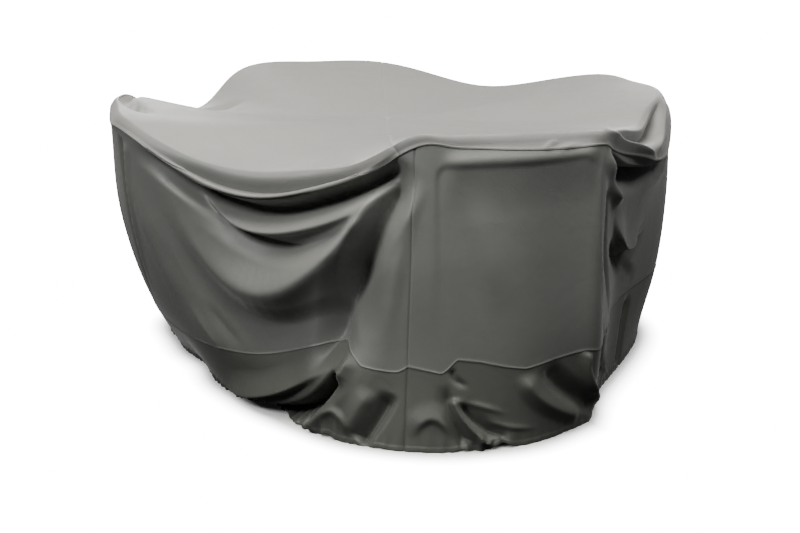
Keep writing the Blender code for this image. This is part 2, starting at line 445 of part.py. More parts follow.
def build_panel(name, rows, columns, points, normals, material, collection):
    """One half of the top, the wall or the band, drawn back from its neighbours at each seam."""
    points = points[columns][:, rows]
    normals = normals[columns][:, rows]
    half_gap = SEAM_GAP / 2
    is_top = rows.start == 0
    if is_top:
        inwards = points[len(columns) // 2, 1] - points[0, 0]
        points[:, 0] += half_gap * inwards / np.linalg.norm(inwards)
    else:
        points[:, 0] = draw_back(points[:, 0], points[:, 1], half_gap)
    if not name.startswith(LOWEST_PIECE):
        points[:, -1] = draw_back(points[:, -1], points[:, -2], half_gap)
    below = 1 if is_top else 0
    points[0, below:] = draw_back(points[0, below:], points[1, below:], half_gap)
    points[-1, below:] = draw_back(points[-1, below:], points[-2, below:], half_gap)
    return sheet_panel(name, points, normals, material, collection, is_top)


def build_cover():
    for thing in list(bpy.data.objects):
        bpy.data.objects.remove(thing, do_unlink=True)
    collection = bpy.data.collections.new(COVER_NAME)
    bpy.context.scene.collection.children.link(collection)
    wall_levels = np.linspace(RIM_SEAM, BAND_SEAM, WALL_ROWS + 1)
    band_levels = np.linspace(BAND_SEAM, HEM, BAND_ROWS + 1)
    levels = np.concatenate([TOP_LEVELS, wall_levels[1:], band_levels[1:]])
    rim, band = len(TOP_LEVELS) - 1, len(TOP_LEVELS) - 1 + WALL_ROWS
    azimuths = round_azimuths()
    points, normals = closed_grid(azimuths, levels)
    pieces = [
        ("top_panel", slice(0, rim + 1), TOP_SEAM_AZIMUTH, CLOTH_COLOUR),
        ("wall_panel", slice(rim, band + 1), WALL_SEAM_AZIMUTH, CLOTH_COLOUR),
        (LOWEST_PIECE, slice(band, None), WALL_SEAM_AZIMUTH, BAND_COLOUR),
    ]
    for piece, rows, seam_azimuth, colour in pieces:
        first = int(np.argmin(np.abs(azimuths - seam_azimuth)))
        last = int(np.argmin(np.abs(azimuths - seam_azimuth - 180.0)))
        right = np.arange(first, last + 1)
        left = np.concatenate([np.arange(last, len(azimuths)), np.arange(first + 1)])
        for side, columns in (("left", left), ("right", right)):
            name = f"{piece}_{side}"
            material = cloth_material(name + "_cloth", colour)
            build_panel(name, rows, columns, points, normals, material, collection)


build_cover()
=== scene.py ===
"""Dressed model of a draped cloth cover, about 2 m across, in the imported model's frame.

Metres, +Z up, hem on the floor at Z = 0. Azimuth 0 is the front (-Y) and grows to the right, so 90 is +X.
"""
import math
from collections import namedtuple

import bpy
import numpy as np
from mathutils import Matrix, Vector


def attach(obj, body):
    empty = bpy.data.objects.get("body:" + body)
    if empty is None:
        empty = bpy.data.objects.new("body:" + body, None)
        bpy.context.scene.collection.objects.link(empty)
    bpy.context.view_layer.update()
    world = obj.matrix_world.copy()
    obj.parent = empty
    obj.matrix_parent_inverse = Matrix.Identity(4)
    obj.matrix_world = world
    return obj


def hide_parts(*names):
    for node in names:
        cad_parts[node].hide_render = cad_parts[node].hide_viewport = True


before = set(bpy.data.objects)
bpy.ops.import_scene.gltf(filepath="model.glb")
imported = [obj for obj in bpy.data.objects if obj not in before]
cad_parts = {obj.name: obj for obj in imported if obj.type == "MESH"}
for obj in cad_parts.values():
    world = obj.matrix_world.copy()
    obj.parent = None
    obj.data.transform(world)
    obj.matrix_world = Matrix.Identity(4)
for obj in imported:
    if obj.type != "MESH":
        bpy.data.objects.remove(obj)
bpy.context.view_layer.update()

# ---- Studio ------------------------------------------------------------------------------------------
# The camera stands in front of the cover and looks down on it a little. Two large soft lamps over and behind
# the cover make its top shine and leave its walls dark. Smaller ones at the front left, the front and the right
# draw out the folds, and two low ones light its back.
LOOK_DOWN = 16.4           # degrees below level
camera_data = bpy.data.cameras.new("camera")
camera_data.sensor_width = 36.0
camera_data.lens = 51.57
camera = bpy.data.objects.new("camera", camera_data)
camera.location = (0.0238, -4.0778, 1.4615)
camera.rotation_euler = (math.radians(90.0 - LOOK_DOWN), 0.0, 0.0)
bpy.context.scene.collection.objects.link(camera)
bpy.context.scene.camera = camera


def linear(hex_colour):
    """An sRGB hex colour as linear RGBA."""
    parts = [int(hex_colour[i:i + 2], 16) / 255.0 for i in (1, 3, 5)]
    return (*(c / 12.92 if c <= 0.04045 else ((c + 0.055) / 1.055) ** 2.4 for c in parts), 1.0)


def soft_lamp(name, place, target, size, watts, colour="#FFFFFF"):
    """A square soft box, size metres wide, at a place and facing a target."""
    data = bpy.data.lights.new(name, "AREA")
    data.size = size
    data.energy = watts
    data.color = linear(colour)[:3]
    lamp = bpy.data.objects.new(name, data)
    lamp.location = place
    lamp.rotation_euler = (Vector(target) - Vector(place)).to_track_quat("-Z", "Y").to_euler()
    bpy.context.scene.collection.objects.link(lamp)


soft_lamp("back_box", (0.0, 1.6, 3.4), (0.0, 0.0, 0.8), 2.4, 84, "#FFFAF4")
soft_lamp("overhead_box", (-0.3, -0.4, 3.8), (0.0, 0.0, 0.5), 2.8, 212, "#FFFAF4")
soft_lamp("front_box", (0.9, -2.5, 3.2), (0.2, -0.6, 0.6), 1.2, 34)
soft_lamp("front_left_box", (-2.6, -2.6, 3.2), (0.0, 0.0, 0.5), 1.2, 112)
soft_lamp("right_box", (2.7, -1.1, 3.6), (0.2, 0.0, 0.5), 1.0, 46)
soft_lamp("rear_left_box", (-1.8, 4.0, 1.8), (0.0, 0.0, 0.4), 1.4, 50)
soft_lamp("rear_right_box", (2.2, 3.9, 1.8), (0.0, 0.0, 0.4), 1.4, 50)

world = bpy.data.worlds.new("room_light")
bpy.context.scene.world = world
world.use_nodes = True
world.node_tree.nodes["Background"].inputs["Color"].default_value = linear("#FFFFFF")
world.node_tree.nodes["Background"].inputs["Strength"].default_value = 0.04

# ---- Top panels --------------------------------------------------------------------------------------
# Two half rounds of woven polyester with a grey coating, joined by a fine seam across the middle. They lie
# over the raised places and sag between them, and end in a lapped rim seam all round.
# A level tells how far down the cloth a point lies: 0 is the middle of the top, 1 half way out, 2 the edge
# where the top rolls over, 3 the rim seam, 4 the middle of the wall, 5 the band seam and 6 the hem.
CENTRE, ROLL_OVER, RIM_SEAM, BAND_SEAM, HEM = 0, 2, 3, 5, 6
TOP_MIDDLE_HEIGHT = 0.805
HALF_WAY = 0.52                          # how far out level 1 lies, as a share of the roll-over edge's radius
MIDDLE = (0.0262, -0.0622, 0.0)          # middle of the outline's box, seen from above
HALF_TURN = 180.0                        # each cut piece goes half the way round
TOP_SEAM_AZIMUTH = 1.8
WALL_SEAM_AZIMUTH = 4.5
WALL_SEAM_LEAN = 1.3                     # degrees that the wall's front seam leans
WALL_SEAM_REACH = 12.0                   # degrees beside it over which the cloth leans with it
READ_AZIMUTH, READ_LEVEL = 0.4, 0.02     # steps over which a surface's slope is read
FINEST_FOLD = 0.010                      # folds are drawn no narrower than this half width
FOLD_STEPS = 24                          # straight pieces of a fold's line
NO_LENGTH = 1e-12
CLOTH_THICKNESS = 0.0016

# rim: the seam round the top; roll_in and roll_up: how far inside and above it the top rolls over; half_z:
# height of level 1; wall: radius half way down the wall; band: the lower seam; hem: radius on the floor.
Station = namedtuple("Station", "azimuth rim_r rim_z roll_in roll_up half_z wall_r band_r band_z hem_r")
STATIONS = [
    Station(0.0, 0.890, 0.822, 0.018, 0.024, 0.815, 0.932, 0.988, 0.220, 1.065),
    Station(6.8, 0.933, 0.879, 0.016, 0.022, 0.824, 0.969, 1.017, 0.224, 1.099),
    Station(11.0, 0.950, 0.872, 0.019, 0.028, 0.827, 0.988, 1.034, 0.228, 1.111),
    Station(15.0, 0.964, 0.868, 0.022, 0.032, 0.830, 1.004, 1.048, 0.230, 1.116),
    Station(22.5, 0.998, 0.863, 0.028, 0.038, 0.835, 1.038, 1.078, 0.235, 1.122),
    Station(33.6, 1.055, 0.866, 0.022, 0.036, 0.838, 1.068, 1.087, 0.238, 1.086),
    Station(36.5, 1.078, 0.868, 0.016, 0.034, 0.840, 1.084, 1.094, 0.240, 1.072),
    Station(39.2, 1.057, 0.851, 0.022, 0.042, 0.837, 1.046, 1.062, 0.242, 1.034),
    Station(43.0, 1.030, 0.825, 0.036, 0.053, 0.831, 1.000, 1.020, 0.245, 0.984),
    Station(53.0, 1.000, 0.782, 0.070, 0.080, 0.826, 0.945, 0.928, 0.250, 0.922),
    Station(63.0, 1.005, 0.742, 0.090, 0.102, 0.822, 0.935, 0.899, 0.255, 0.906),
    Station(76.0, 1.005, 0.772, 0.085, 0.100, 0.832, 0.975, 0.940, 0.262, 0.919),
    Station(88.0, 1.010, 0.852, 0.035, 0.052, 0.846, 1.025, 1.005, 0.262, 0.945),
    Station(106.0, 1.002, 0.868, 0.030, 0.038, 0.852, 1.000, 0.970, 0.235, 0.935),
    Station(121.0, 1.010, 0.870, 0.018, 0.032, 0.840, 0.980, 0.940, 0.220, 0.920),
    Station(135.0, 0.930, 0.815, 0.022, 0.045, 0.820, 0.920, 0.900, 0.220, 0.890),
    Station(151.0, 0.885, 0.768, 0.030, 0.056, 0.810, 0.890, 0.880, 0.220, 0.860),
    Station(167.0, 0.912, 0.812, 0.022, 0.045, 0.822, 0.920, 0.890, 0.220, 0.870),
    Station(183.0, 0.975, 0.869, 0.018, 0.034, 0.842, 0.960, 0.920, 0.220, 0.900),
    Station(202.0, 0.962, 0.872, 0.030, 0.042, 0.850, 0.955, 0.920, 0.220, 0.900),
    Station(219.5, 0.978, 0.865, 0.018, 0.035, 0.840, 0.950, 0.910, 0.220, 0.890),
    Station(231.0, 0.915, 0.788, 0.022, 0.040, 0.815, 0.910, 0.890, 0.215, 0.870),
    Station(244.0, 0.880, 0.735, 0.030, 0.048, 0.790, 0.885, 0.880, 0.210, 0.850),
    Station(255.0, 0.910, 0.788, 0.022, 0.036, 0.790, 0.905, 0.885, 0.205, 0.840),
    Station(266.0, 0.967, 0.862, 0.018, 0.022, 0.802, 0.950, 0.895, 0.200, 0.835),
    Station(281.0, 0.970, 0.854, 0.030, 0.040, 0.822, 0.960, 0.868, 0.180, 0.778),
    Station(292.0, 0.978, 0.849, 0.030, 0.038, 0.824, 0.948, 0.850, 0.166, 0.754),
    Station(302.5, 0.978, 0.846, 0.026, 0.024, 0.825, 0.932, 0.836, 0.155, 0.736),
    Station(312.0, 0.915, 0.766, 0.022, 0.040, 0.815, 0.888, 0.850, 0.165, 0.776),
    Station(324.0, 0.864, 0.697, 0.036, 0.062, 0.800, 0.855, 0.868, 0.175, 0.825),
    Station(334.0, 0.844, 0.685, 0.040, 0.070, 0.795, 0.855, 0.873, 0.187, 0.880),
    Station(344.0, 0.838, 0.713, 0.040, 0.058, 0.795, 0.865, 0.895, 0.235, 0.945),
    Station(352.5, 0.850, 0.757, 0.026, 0.036, 0.805, 0.886, 0.962, 0.270, 1.018),
]

# The folds. Each runs through three places (azimuth, level) towards greater azimuth. height: how far its
# line stands out, or in where negative; over and under: its half widths on the left and on the right of
# the way it runs, which are its upper and lower sides where it runs level; lean: share of the height by
# which the line slips to its under side; fade_in and fade_out: shares of its length where it starts and
# ends; crest: 2 gives a round crest, and nearer to 1 a sharper one; blunt: half width over which a sharp
# crest is rounded off.
Fold = namedtuple("Fold", "name start middle end height over under lean fade_in fade_out crest blunt",
                  defaults=[0.0])
FOLDS = [
    # top
    Fold("top_trough_back_left", (-128, 1.55), (-110, 1.92), (-95, 2.30), -0.024, 0.050, 0.040, 0, 0.4, 0.2, 1.6),
    Fold("top_trough_left", (-112, 1.86), (-84, 1.92), (-64, 1.70), -0.036, 0.026, 0.060, 0, 0.3, 0.4, 1.3),
    Fold("top_strip_left", (-112, 2.45), (-100, 2.35), (-88, 2.25), 0.010, 0.030, 0.030, 0, 0.4, 0.3, 1.6),
    Fold("top_trough_right", (38, 2.20), (60, 2.30), (84, 2.22), -0.046, 0.016, 0.060, 0, 0.3, 0.25, 1.25),
    Fold("top_lip_right", (36.6, 2.04), (46, 2.64), (62, 2.97), 0.034, 0.044, 0.034, 0, 0.3, 0.2, 1.12),
    Fold("top_lip_far_right", (56, 2.90), (71, 2.62), (88, 2.50), 0.014, 0.050, 0.030, 0, 0.35, 0.3, 1.3),
    Fold("roll_band_left", (-52, 2.88), (-24, 2.85), (0, 2.90), -0.026, 0.068, 0.006, 0, 0.25, 0.3, 1.3),
    # bay at the left of the front
    Fold("under_rim_left", (-56, 3.08), (-22, 3.20), (3, 3.08), -0.096, 0.040, 0.050, 0, 0.2, 0.12, 1.5),
    Fold("cowl_one", (-47, 3.15), (-20, 3.43), (-1.5, 3.30), 0.022, 0.070, 0.024, 0.35, 0.25, 0.2, 1.2, 0.004),
    Fold("cowl_one_tuck", (-45, 3.22), (-19, 3.66), (-4.5, 3.48), -0.030, 0.050, 0.060, 0, 0.2, 0.3, 1.3),
    Fold("cowl_crease", (-48, 3.18), (-30, 3.46), (-14, 3.74), -0.020, 0.012, 0.034, 0, 0.2, 0.3, 1.1),
    Fold("cowl_two", (-54, 3.40), (-21.5, 4.15), (2, 3.08), 0.068, 0.110, 0.112, 0.1, 0.6, 0.15, 1.12, 0.016),
    Fold("cowl_two_tuck", (-50, 3.80), (-24, 4.60), (-6, 4.50), -0.020, 0.060, 0.160, 0, 0.4, 0.12, 1.8),
    Fold("corner_valley", (-7.5, 4.70), (-4.2, 3.84), (3.8, 3.09), -0.084, 0.048, 0.090, 0, 0.4, 0.2, 1.4),
    Fold("corner_valley_low", (-13.5, 5.40), (-9.0, 4.62), (-4.4, 3.80), -0.074, 0.074, 0.200, 0, 0.40, 0.5, 1.4),
    Fold("corner_ridge", (0.0, 4.90), (2.4, 4.00), (6, 3.14), 0.010, 0.070, 0.040, 0, 0.3, 0.3, 1.5),
    Fold("cowl_end", (-12, 3.98), (-5, 3.58), (1.5, 3.12), 0.014, 0.040, 0.024, 0, 0.35, 0.3, 1.2),
    Fold("left_valley", (-55, 3.20), (-47, 3.90), (-36, 4.40), -0.008, 0.070, 0.070, 0, 0.5, 0.4, 1.8),
    Fold("left_swell", (-60, 3.15), (-56, 3.95), (-48, 4.70), 0.006, 0.070, 0.060, 0, 0.5, 0.3, 1.8),
    Fold("left_low_ridge", (-48, 4.50), (-41, 4.84), (-36, 5.06), 0.005, 0.030, 0.030, 0, 0.4, 0.4, 1.3),
    Fold("left_low_valley", (-43, 4.44), (-36, 4.72), (-30, 4.98), -0.006, 0.030, 0.050, 0, 0.4, 0.4, 1.4),
    Fold("left_crease", (-67, 4.90), (-63.5, 3.90), (-60, 3.06), -0.022, 0.016, 0.024, 0, 0.35, 0.06, 1.15),
    Fold("left_crease_ridge", (-64, 4.80), (-60.8, 3.85), (-57.8, 3.08), 0.010, 0.014, 0.026, 0, 0.4, 0.08, 1.2),
    # front
    Fold("front_border", (8.5, 3.15), (22, 3.085), (36, 3.065), 0.016, 0.044, 0.160, 0, 0.15, 0.08, 1.3),
    Fold("front_wrinkle_one", (27.0, 3.03), (28.2, 2.80), (29.6, 2.50), 0.005, 0.008, 0.010, 0, 0.2, 0.3, 1.1),
    Fold("front_wrinkle_two", (29.4, 3.06), (31.0, 2.97), (33.0, 2.90), 0.004, 0.010, 0.008, 0, 0.3, 0.3, 1.1),
    Fold("front_swell", (13, 3.30), (17, 3.90), (19, 4.60), 0.008, 0.090, 0.060, 0, 0.4, 0.4, 1.8),
    # bay at the right of the front
    Fold("front_edge", (36.5, 3.00), (39.4, 4.72), (56, 5.97), 0.005, 0.009, 0.010, 0, 0.03, 0.05, 1.05),
    Fold("right_gully", (38.8, 3.42), (41.8, 4.00), (46.5, 4.90), -0.066, 0.050, 0.024, 0, 0.4, 0.3, 1.3),
    Fold("right_ridge", (37.4, 3.04), (42.0, 3.33), (51, 3.56), 0.030, 0.030, 0.044, 0, 0.30, 0.3, 1.3, 0.004),
    Fold("right_tongue", (47.5, 3.66), (55.5, 4.14), (68, 3.88), 0.036, 0.090, 0.018, 0.3, 0.3, 0.35, 1.15),
    Fold("right_tongue_tuck", (47, 3.90), (56.5, 4.32), (71, 4.10), -0.024, 0.016, 0.070, 0, 0.3, 0.3, 1.25),
    Fold("right_low", (58, 4.36), (64, 4.62), (71, 4.86), -0.014, 0.045, 0.040, 0, 0.3, 0.3, 1.6),
    Fold("under_rim_right", (38.6, 3.07), (51, 3.22), (64, 3.10), -0.078, 0.024, 0.085, 0, 0.25, 0.3, 1.25),
    Fold("under_rim_far_right", (58, 3.12), (70, 3.14), (82, 3.10), -0.024, 0.028, 0.070, 0, 0.3, 0.3, 1.5),
    # bays at the back
    Fold("under_rim_back_right", (126, 3.10), (150, 3.16), (174, 3.10), -0.038, 0.026, 0.055, 0, 0.2, 0.2, 1.5),
    Fold("cowl_back_right", (127, 3.20), (150, 3.95), (176, 3.18), 0.046, 0.140, 0.046, 0.4, 0.25, 0.25, 1.5),
    Fold("tuck_back_right", (132, 3.65), (152, 4.25), (172, 3.70), -0.034, 0.036, 0.090, 0, 0.3, 0.3, 1.5),
    Fold("sweep_back_right", (137, 4.90), (130, 4.10), (123, 3.12), -0.042, 0.090, 0.090, 0, 0.3, 0.12, 1.6),
    Fold("sweep_back_middle", (168, 4.90), (174, 4.10), (181, 3.12), -0.038, 0.090, 0.090, 0, 0.3, 0.12, 1.6),
    Fold("under_rim_back_left", (224, 3.10), (243, 3.16), (261, 3.10), -0.038, 0.026, 0.055, 0, 0.2, 0.2, 1.5),
    Fold("cowl_back_left", (223, 3.20), (242, 3.80), (262, 3.18), 0.044, 0.130, 0.046, 0.4, 0.25, 0.25, 1.5),
    Fold("tuck_back_left", (228, 3.55), (243, 4.10), (258, 3.60), -0.034, 0.036, 0.090, 0, 0.3, 0.3, 1.5),
    Fold("sweep_back_left", (232, 4.92), (226, 4.10), (221, 3.12), -0.040, 0.090, 0.090, 0, 0.3, 0.12, 1.6),
    Fold("sweep_left", (257, 4.92), (262, 4.10), (266, 3.12), -0.030, 0.080, 0.080, 0, 0.3, 0.12, 1.6),
    Fold("swell_back", (193, 4.90), (196, 4.20), (197, 3.30), 0.016, 0.110, 0.110, 0, 0.3, 0.3, 2.0),
    Fold("swell_right", (104, 4.90), (108, 4.10), (112, 3.20), 0.014, 0.110, 0.110, 0, 0.3, 0.3, 2.0),
    # hem band
    Fold("band_puff_left", (-45, 5.90), (-24, 5.62), (-9.6, 5.24), 0.036, 0.075, 0.016, 0.3, 0.4, 0.4, 1.3),
    Fold("band_tuck_left", (-36, 5.99), (-17, 5.76), (-8.8, 5.26), -0.086, 0.016, 0.066, 0, 0.25, 0.12, 1.3),
    Fold("band_ridge_one", (-13.5, 5.97), (-9.3, 5.50), (-6, 5.03), 0.020, 0.016, 0.050, 0, 0.06, 0.15, 1.1),
    Fold("band_hump_one", (-11.5, 5.86), (-8.5, 5.70), (-5.5, 5.84), 0.012, 0.022, 0.014, 0, 0.3, 0.3, 1.2),
    Fold("band_ridge_two", (-6, 5.92), (-3.6, 5.60), (-1, 5.28), 0.012, 0.050, 0.030, 0, 0.2, 0.3, 1.6),
    Fold("band_groove_one", (-2.6, 5.98), (0.3, 5.62), (2.4, 5.28), -0.034, 0.050, 0.026, 0, 0.06, 0.25, 1.5),
    Fold("band_hump_two", (5.4, 5.86), (8.6, 5.60), (12.0, 5.90), 0.012, 0.060, 0.014, 0, 0.3, 0.3, 1.3),
    Fold("band_nick", (11.7, 5.00), (12.2, 5.13), (14.4, 5.22), -0.012, 0.010, 0.018, 0, 0.1, 0.4, 1.1),
    Fold("band_groove_three", (10.6, 5.16), (11.8, 5.60), (14.2, 5.92), -0.020, 0.016, 0.046, 0, 0.3, 0.15, 1.3),
    Fold("band_ridge_three", (11.4, 5.34), (13.3, 5.66), (17, 5.97), 0.028, 0.026, 0.024, 0, 0.12, 0.08, 1.05),
    Fold("band_groove_four", (12.4, 5.38), (15.2, 5.68), (19.5, 5.90), -0.024, 0.042, 0.014, 0, 0.2, 0.25, 1.2),
    Fold("band_crease_one", (12, 5.40), (15.5, 5.46), (20, 5.60), 0.007, 0.014, 0.012, 0, 0.1, 0.4, 1.0),
    Fold("band_crease_two", (16, 5.62), (19.5, 5.74), (25, 5.82), 0.006, 0.014, 0.012, 0, 0.3, 0.4, 1.0),
    Fold("band_sweep", (22.5, 5.10), (25.5, 5.50), (34, 5.86), 0.020, 0.055, 0.040, 0, 0.25, 0.15, 1.4),
    Fold("band_hollow", (26, 5.04), (30.5, 5.46), (38, 5.84), -0.026, 0.060, 0.040, 0, 0.25, 0.1, 1.5),
    Fold("band_edge_right", (34.8, 5.00), (35.6, 5.42), (41.5, 5.92), 0.020, 0.012, 0.044, 0, 0.06, 0.05, 1.05),
    Fold("band_gap_right", (39.6, 5.06), (43.5, 5.52), (49, 5.97), -0.090, 0.100, 0.028, 0, 0.12, 0.05, 1.3),
    Fold("band_side_right", (62, 5.97), (66, 5.50), (70, 5.05), -0.022, 0.040, 0.040, 0, 0.05, 0.3, 1.7),
    Fold("band_side_far_right", (82, 5.97), (86, 5.50), (90, 5.10), -0.026, 0.045, 0.045, 0, 0.05, 0.3, 1.7),
    Fold("band_back_one", (112, 5.97), (118, 5.50), (124, 5.08), -0.034, 0.080, 0.080, 0, 0.05, 0.3, 1.7),
    Fold("band_back_two", (140, 5.97), (146, 5.55), (152, 5.12), -0.034, 0.085, 0.080, 0, 0.05, 0.3, 1.7),
    Fold("band_back_three", (168, 5.97), (172, 5.50), (180, 5.08), -0.032, 0.080, 0.085, 0, 0.05, 0.3, 1.7),
    Fold("band_back_four", (196, 5.97), (204, 5.60), (208, 5.15), -0.034, 0.080, 0.080, 0, 0.05, 0.3, 1.7),
    Fold("band_back_five", (224, 5.97), (230, 5.55), (238, 5.10), -0.032, 0.080, 0.080, 0, 0.05, 0.3, 1.7),
    Fold("band_left_one", (252, 5.97), (256, 5.50), (262, 5.08), -0.028, 0.080, 0.080, 0, 0.05, 0.3, 1.7),
    Fold("band_left_two", (276, 5.97), (279, 5.55), (284, 5.12), -0.020, 0.070, 0.070, 0, 0.05, 0.3, 1.7),
]

# The wall's front lies flat and a little sunk between its round upper corners. Its edge softens downwards, and
# it is sunk less towards the right.
FRONT_AZIMUTH = 21.8
FRONT_HALF_WIDTH = 0.240
FRONT_TOP_LEVEL, FRONT_TOP_SLOPE = 3.125, -0.0036
FRONT_CORNER = 0.045
FRONT_EDGE, FRONT_EDGE_GROWTH = 0.010, 0.070
FRONT_DEPTH = 0.006
FRONT_FADE_FROM, FRONT_FADE_REACH, FRONT_FADE = 24.0, 12.0, 0.6
FRONT_END_LEVEL, FRONT_END_REACH = 4.9, 0.8
LEVEL_HEIGHT = 0.31        # one level of the wall, measured down the cloth


def closed_spline(places, values, at):
    """Smooth closed curve through rows of values at their azimuths, read at other azimuths."""
    count = len(places)
    gap = np.diff(np.append(places, places[0] + 360.0))
    rise = (np.roll(values, -1, axis=0) - values) / gap[:, None]
    matrix = np.zeros((count, count))
    for i in range(count):
        matrix[i, i - 1] = gap[i - 1]
        matrix[i, i] = 2.0 * (gap[i - 1] + gap[i])
        matrix[i, (i + 1) % count] = gap[i]
    curvature = np.linalg.solve(matrix, 6.0 * (rise - np.roll(rise, 1, axis=0)))
    at = np.mod(at, 360.0)
    i = np.searchsorted(places, at, side="right") - 1
    j = (i + 1) % count
    width = gap[i][:, None]
    b = (at - places[i])[:, None] / width
    a = 1.0 - b
    bend = ((a ** 3 - a) * curvature[i] + (b ** 3 - b) * curvature[j]) * width ** 2 / 6.0
    return a * values[i] + b * values[j] + bend


def profile(points, levels):
    """Curve down the cloth in each upright plane: points[azimuth, level] are (radius, height)."""
    run = np.diff(points, axis=1)
    size = np.linalg.norm(run, axis=2, keepdims=True)
    way = run / size
    knot = np.empty_like(points)
    knot[:, 0] = (1.0, 0.0)
    knot[:, -1] = way[:, -1]
    knot[:, 1:-1] = (way[:, :-1] * size[:, 1:] + way[:, 1:] * size[:, :-1]) / (size[:, :-1] + size[:, 1:])
    leave, reach = knot[:, :-1].copy(), knot[:, 1:].copy()
    reach[:, ROLL_OVER - 1] = way[:, ROLL_OVER - 1]
    leave[:, RIM_SEAM] = way[:, RIM_SEAM]
    over_edge = way[:, ROLL_OVER - 1] + way[:, ROLL_OVER]
    under_rim = way[:, ROLL_OVER] + way[:, RIM_SEAM]
    leave[:, ROLL_OVER] = over_edge / np.linalg.norm(over_edge, axis=1, keepdims=True)
    reach[:, ROLL_OVER] = under_rim / np.linalg.norm(under_rim, axis=1, keepdims=True)
    i = np.minimum(levels.astype(int), points.shape[1] - 2)
    f = (levels - i)[None, :, None]
    return ((2 * f ** 3 - 3 * f ** 2 + 1) * points[:, i] + (f ** 3 - 2 * f ** 2 + f) * leave[:, i] * size[:, i]
            + (3 * f ** 2 - 2 * f ** 3) * points[:, i + 1] + (f ** 3 - f ** 2) * reach[:, i] * size[:, i])


def plain_cover(azimuths, levels):
    """The cover without its folds: points[azimuth, level]."""
    table = np.array(STATIONS)
    row = closed_spline(table[:, 0], table[:, 1:], azimuths)
    rim_r, rim_z, roll_in, roll_up, half_z, wall_r, band_r, band_z, hem_r = row.T
    ground = np.zeros_like(rim_r)
    roll_r = rim_r - roll_in
    radius = [ground, HALF_WAY * roll_r, roll_r, rim_r, wall_r, band_r, hem_r]
    height = [ground + TOP_MIDDLE_HEIGHT, half_z, rim_z + roll_up, rim_z, (rim_z + band_z) / 2, band_z, ground]
    curve = profile(np.stack([np.stack(radius, 1), np.stack(height, 1)], 2), levels)
    below_rim = np.clip((levels - RIM_SEAM) / (HEM - RIM_SEAM), 0.0, 1.0)
    lean = WALL_SEAM_LEAN * (np.clip(levels - ROLL_OVER, 0.0, 1.0) - 2.0 * below_rim)
    off = (np.mod(azimuths - WALL_SEAM_AZIMUTH + 180.0, 360.0) - 180.0) / WALL_SEAM_REACH
    angle = np.radians(azimuths[:, None] + lean[None, :] * np.exp(-off ** 2)[:, None])
    return np.stack([curve[..., 0] * np.sin(angle), -curve[..., 0] * np.cos(angle), curve[..., 1]], 2)


def unit(vectors):
    """Vectors brought to length 1. One that has no length becomes upright."""
    size = np.linalg.norm(vectors, axis=2, keepdims=True)
    return np.where(size > NO_LENGTH, vectors / np.maximum(size, NO_LENGTH), (0.0, 0.0, 1.0))


def outward(surface, azimuths, levels):
    """Unit normals of a surface(azimuths, levels), pointing out of the cover."""
    along = surface(azimuths + READ_AZIMUTH, levels) - surface(azimuths - READ_AZIMUTH, levels)
    down = (surface(azimuths, np.minimum(levels + READ_LEVEL, HEM))
            - surface(azimuths, np.maximum(levels - READ_LEVEL, CENTRE)))
    return unit(np.cross(down, along))


def smooth_step(x):
    """0 up to 0, 1 from 1 on, and an even rise between them."""
    x = np.clip(x, 0.0, 1.0)
    return x * x * (3.0 - 2.0 * x)


def fold_line(fold):
    """A fold's line on the plain cover, with the cloth's normal at each point."""
    s = np.linspace(0.0, 1.0, FOLD_STEPS + 1)[:, None]
    start, middle, end = (np.array(place, float) for place in (fold.start, fold.middle, fold.end))
    places = (1 - s) * (1 - 2 * s) * start + 4 * s * (1 - s) * middle + s * (2 * s - 1) * end
    line, normals = [], []
    for place in places:
        azimuth, level = place[:1], np.clip(place[1:], CENTRE, HEM)
        line.append(plain_cover(azimuth, level)[0, 0])
        normals.append(outward(plain_cover, azimuth, level)[0, 0])
    return np.array(line), np.array(normals)


def add_fold(fold, line, line_normals, points, normals, moved):
    """Moves the points that one fold reaches. The fold runs along its line."""
    reach = max(fold.over, fold.under) + FINEST_FOLD
    near = np.all((points > line.min(0) - reach) & (points < line.max(0) + reach), axis=1)
    places = points[near]
    nearest = np.full(len(places), np.inf)
    share = np.zeros(len(places))
    across = np.zeros(len(places))
    side = np.zeros_like(places)
    for i in range(FOLD_STEPS):
        run = line[i + 1] - line[i]
        f = np.clip((places - line[i]) @ run / (run @ run), 0.0, 1.0)
        away = places - line[i] - f[:, None] * run
        distance = np.linalg.norm(away, axis=1)
        left = np.cross(line_normals[i], run)
        left /= np.linalg.norm(left)
        closer = distance < nearest
        nearest[closer] = distance[closer]
        share[closer] = ((i + f) / FOLD_STEPS)[closer]
        across[closer] = np.where(away @ left < 0.0, -distance, distance)[closer]
        side[closer] = left
    width = np.hypot(np.where(across > 0.0, fold.over, fold.under), FINEST_FOLD)
    from_crest = np.hypot(across, fold.blunt) - fold.blunt
    bump = np.clip(1.0 - (from_crest / width) ** fold.crest, 0.0, 1.0) ** 2
    bump *= smooth_step(share / fold.fade_in) * smooth_step((1.0 - share) / fold.fade_out)
    moved[near] += fold.height * bump[:, None] * (normals[near] - fold.lean * side)


